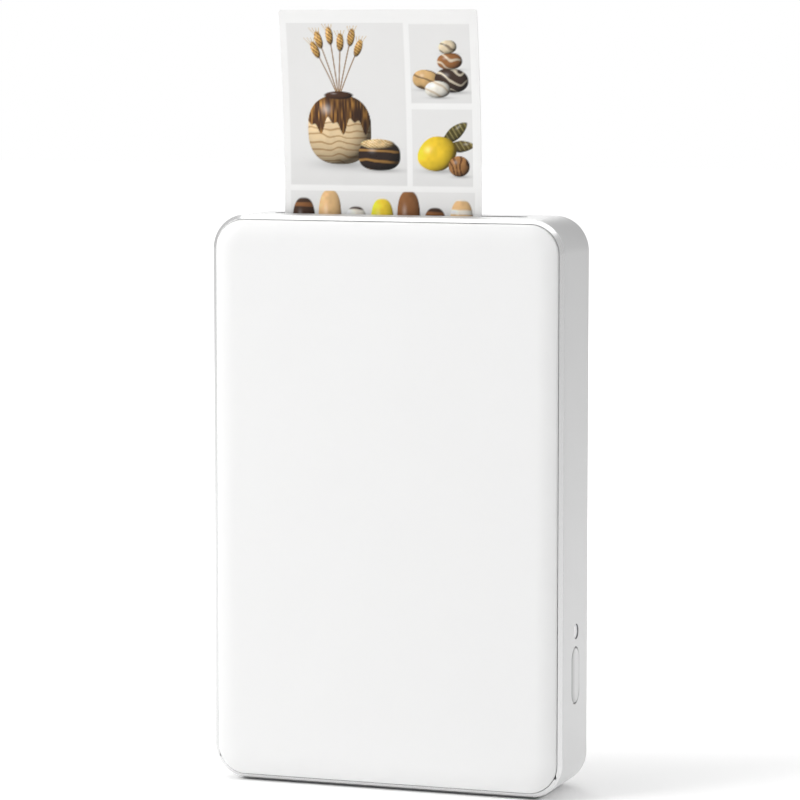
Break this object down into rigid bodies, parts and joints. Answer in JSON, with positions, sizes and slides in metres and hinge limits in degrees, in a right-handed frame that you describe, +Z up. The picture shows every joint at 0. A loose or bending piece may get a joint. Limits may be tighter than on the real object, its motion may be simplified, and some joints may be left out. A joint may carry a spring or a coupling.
{
  "type": "pocket photo printer",
  "caption": "Compact photo printer standing on its short end, with a rounded flat case, a hinged front cover over the paper bay and a sheet feeding out of the top slot.",
  "frame": {"origin": "middle of the base, at the surface that the printer stands on", "axes": "+X across the width towards the power button, +Y to the back, +Z up towards the exit slot"},
  "size_m": [0.09, 0.0246, 0.1891],
  "materials": {
    "white_shell": "fine satin white moulding",
    "silver_band": "fine metallic silver coat",
    "liner_plastic": "light grey moulding",
    "dark_plastic": "dark grey moulding",
    "gear_plastic": "natural acetal",
    "steel": "plated steel",
    "brass": "turned brass",
    "aluminium": "extruded aluminium",
    "ceramic": "glazed ceramic",
    "rubber": "ground rubber",
    "cork": "cork rubber pad",
    "cell": "foil pouch",
    "lead": "insulated lead with plug",
    "board": "solder-masked laminate",
    "chip": "moulded chip package",
    "ribbon": "flat flexible cable",
    "light_plastic": "clear diffusing plastic",
    "paper": "coated photo sheet"
  },
  "bodies": {
    "case": {"mid_frame": "silver_band", "catch_plates": "steel", "hinge_brackets": "steel", "hinge_pins": "steel", "rear_cover": "white_shell", "chassis": "dark_plastic", "paper_tray": "dark_plastic", "side_plate_left": "steel", "side_plate_right": "steel", "exit_guide": "dark_plastic", "separator_pad": "cork", "head_springs": "steel", "head_pin": "steel", "spring_bar": "steel", "platen_bushes": "gear_plastic", "pickup_bushes": "gear_plastic", "gear_posts": "steel", "gear_clips": "dark_plastic", "motor_can": "steel", "motor_bracket": "steel", "motor_screws": "steel", "battery": "cell", "battery_lead": "lead", "main_board": "board", "board_chips": "chip", "shield_can": "steel", "ribbon_connector": "ceramic", "head_ribbon": "ribbon", "usb_socket": "steel", "power_switch": "dark_plastic", "status_led": "light_plastic", "light_pipe": "light_plastic", "cover_switch": "dark_plastic", "paper_sensor": "dark_plastic", "paper_stack": "paper", "chassis_screws": "steel"},
    "cover": {"front_cover": "white_shell", "cover_liner": "liner_plastic", "cover_magnets": "steel", "press_springs": "steel"},
    "press": {"press_plate": "dark_plastic"},
    "head": {"print_head": "ceramic", "heat_sink": "aluminium", "head_bracket": "steel"},
    "platen": {"platen_shaft": "steel", "platen_rubber": "rubber", "platen_gear": "gear_plastic", "platen_clip": "steel"},
    "pickup": {"pickup_shaft": "steel", "pickup_tyres": "rubber", "pickup_gear": "gear_plastic", "pickup_clip": "steel"},
    "idler": {"idler_gear": "gear_plastic"},
    "reduction": {"reduction_gear": "gear_plastic"},
    "rotor": {"motor_shaft": "steel", "motor_pinion": "brass"},
    "button": {"power_button": "silver_band", "switch_plunger": "dark_plastic"},
    "sheet": {"print_sheet": "paper"}
  },
  "joints": [
    {"name": "cover_hinge", "type": "hinge", "parent": "case", "child": "cover", "pos_m": [0, -0.0105, 0.006], "axis": [1, 0, 0], "range_deg": [0, 85]},
    {"name": "press_travel", "type": "slide", "parent": "cover", "child": "press", "axis": [0, 1, 0], "range_m": [-0.0014, 0], "stiffness_N_per_m": 400, "springref_m": 0.002, "deforming": ["press_springs"]},
    {"name": "head_pivot", "type": "hinge", "parent": "case", "child": "head", "pos_m": [0, -0.0032, 0.1218], "axis": [1, 0, 0], "range_deg": [0, 2.5], "stiffness_Nm_per_rad": 1.5, "springref_deg": -2.86, "deforming": ["head_springs"]},
    {"name": "platen_spin", "type": "hinge", "parent": "case", "child": "platen", "pos_m": [0, 0.00417, 0.128], "axis": [1, 0, 0], "continuous": true},
    {"name": "pickup_spin", "type": "hinge", "parent": "case", "child": "pickup", "pos_m": [0, 0.00517, 0.1125], "axis": [1, 0, 0], "continuous": true},
    {"name": "idler_spin", "type": "hinge", "parent": "case", "child": "idler", "pos_m": [0, 0.00275, 0.12013], "axis": [1, 0, 0], "continuous": true},
    {"name": "reduction_spin", "type": "hinge", "parent": "case", "child": "reduction", "pos_m": [0, 0.001, 0.10567], "axis": [1, 0, 0], "continuous": true},
    {"name": "motor_spin", "type": "hinge", "parent": "case", "child": "rotor", "pos_m": [0, 0.002, 0.09572], "axis": [1, 0, 0], "continuous": true},
    {"name": "power_press", "type": "slide", "parent": "case", "child": "button", "axis": [-1, 0, 0], "range_m": [0, 0.0004], "stiffness_N_per_m": 2500, "springref_m": -0.0004},
    {"name": "sheet_feed", "type": "slide", "parent": "case", "child": "sheet", "axis": [0, 0, 1], "range_m": [-0.071, 0.03]}
  ],
  "couplings": [
    {"joint": "pickup_spin", "follows": "platen_spin", "ratio": 1},
    {"joint": "idler_spin", "follows": "platen_spin", "ratio": -1.6667},
    {"joint": "reduction_spin", "follows": "platen_spin", "ratio": -1.6667},
    {"joint": "motor_spin", "follows": "platen_spin", "ratio": 5}
  ]
}
